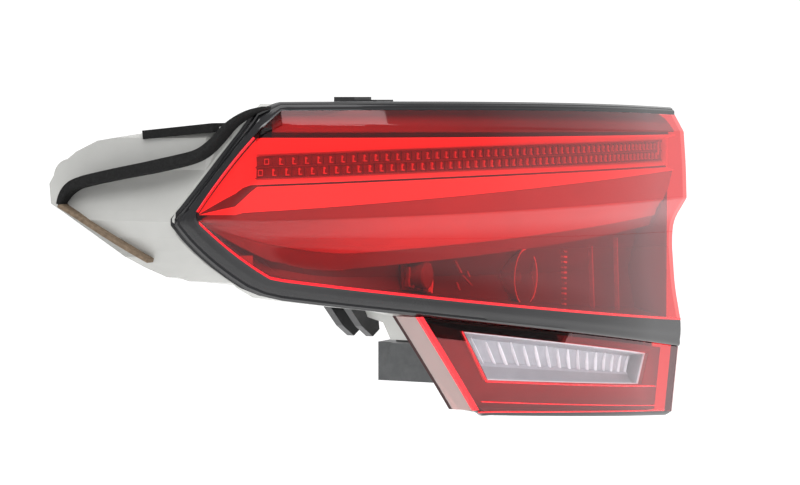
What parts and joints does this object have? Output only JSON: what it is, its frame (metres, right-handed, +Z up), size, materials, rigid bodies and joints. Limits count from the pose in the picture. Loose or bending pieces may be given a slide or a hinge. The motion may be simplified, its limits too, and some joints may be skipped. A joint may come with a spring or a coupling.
{
  "type": "tail light cluster",
  "caption": "Left-hand rear combination lamp with a wrap-round red lens, pointed outboard end, pixel light strip, turn signal chamber and reversing light.",
  "frame": {"origin": "centre of the upper fixing bolt's bushing, at mid-length", "axes": "+X inboard across the car, +Y forward along the car and along the bolts, +Z up"},
  "size_m": [0.463, 0.2918, 0.2374],
  "materials": {
    "red_lens": "polished clear red",
    "black_frame": "gloss",
    "clear_lens": "polished clear",
    "red_bezel": "metallised under red lens",
    "pixel_red": "moulded optic",
    "board_green": "solder mask",
    "led_yellow": "encapsulated",
    "bezel_dark": "semi-gloss",
    "clear_optic": "polished clear",
    "reflector": "metallised",
    "amber_bulb": "clear amber",
    "clear_bulb": "clear",
    "socket_black": "satin moulded",
    "seal_black": "soft",
    "housing_grey": "fine texture",
    "gasket_foam": "closed-cell foam",
    "clip_black": "satin moulded",
    "pin_ivory": "satin moulded",
    "steel": "zinc plated",
    "connector_grey": "satin moulded",
    "terminal_tin": "plated",
    "alloy": "satin"
  },
  "bodies": {
    "root": {"housing": "housing_grey", "outer_lens": "red_lens", "lens_frame": "black_frame", "reverse_window": "clear_lens", "upper_bezel": "bezel_dark", "light_trough": "red_bezel", "pixel_strip": "pixel_red", "strip_board": "board_green", "strip_leds": "led_yellow", "lower_bezel": "bezel_dark", "stop_light_guide": "clear_optic", "signal_reflector": "reflector", "signal_bulb": "amber_bulb", "signal_socket": "socket_black", "signal_socket_seal": "seal_black", "reverse_bezel": "bezel_dark", "reverse_reflector": "reflector", "reverse_bulb": "clear_bulb", "reverse_socket": "socket_black", "reverse_socket_seal": "seal_black", "body_gasket": "gasket_foam", "foam_pad": "gasket_foam", "top_clip": "clip_black", "lower_clip": "clip_black", "locating_pins": "pin_ivory", "bolt_bushings": "steel", "main_connector": "connector_grey", "connector_terminals": "terminal_tin", "heat_sink": "alloy", "driver_cover": "clip_black", "cover_screws": "steel", "vent_caps": "seal_black"}
  },
  "joints": []
}
